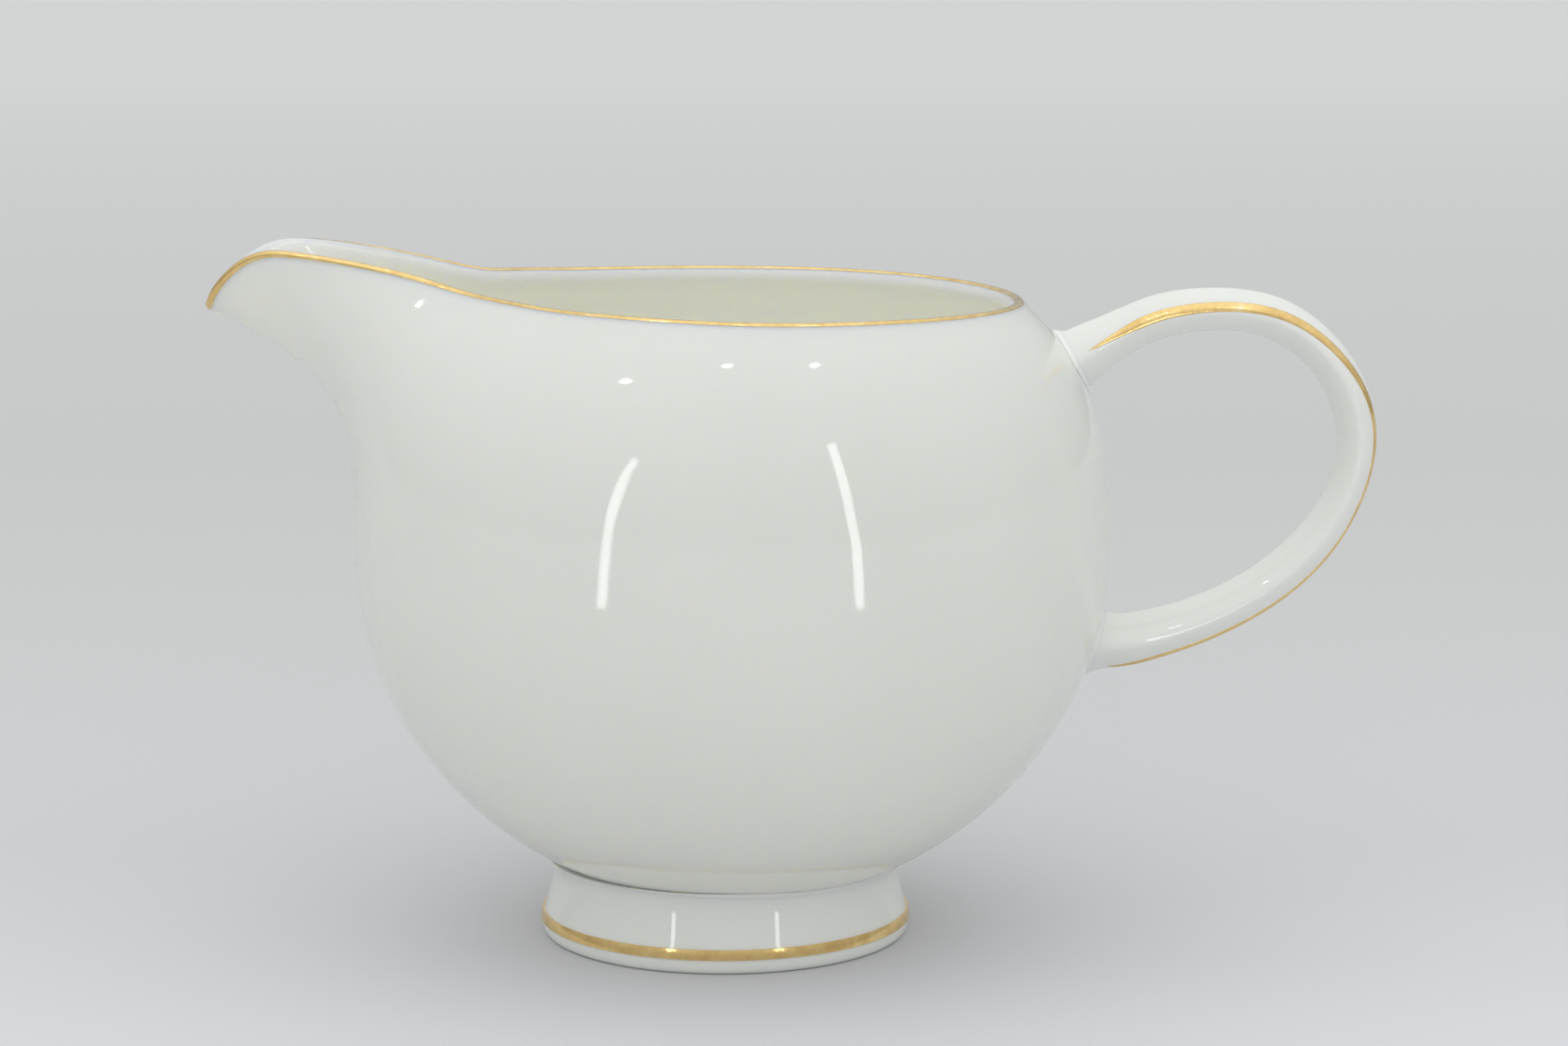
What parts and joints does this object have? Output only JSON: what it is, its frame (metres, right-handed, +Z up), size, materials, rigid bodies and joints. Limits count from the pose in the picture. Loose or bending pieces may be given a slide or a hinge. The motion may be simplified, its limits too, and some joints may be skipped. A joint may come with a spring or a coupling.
{
  "type": "cream jug",
  "caption": "Small round-bellied bone-china cream jug with a pulled pouring lip, a loop handle, a low flared foot and fine gold lines.",
  "frame": {"origin": "centre of the foot's circle, on the surface the jug stands on", "axes": "+Z up along the jug's axis, -X towards the pouring lip, +X towards the handle, the XZ plane is the plane of symmetry"},
  "size_m": [0.1377, 0.0894, 0.0824],
  "materials": {
    "glazed_china": "clear glossy glaze over translucent white bone china",
    "fired_slip": "luting slip fired in, under the same clear glaze",
    "burnished_gold": "burnished gilding, a thin painted line"
  },
  "bodies": {
    "root": {"body": "glazed_china", "handle": "glazed_china", "foot_ring": "glazed_china", "foot_slip": "fired_slip", "upper_handle_slip": "fired_slip", "lower_handle_slip": "fired_slip", "rim_gold_line": "burnished_gold", "foot_gold_band": "burnished_gold", "handle_gold_line": "burnished_gold"}
  },
  "joints": []
}
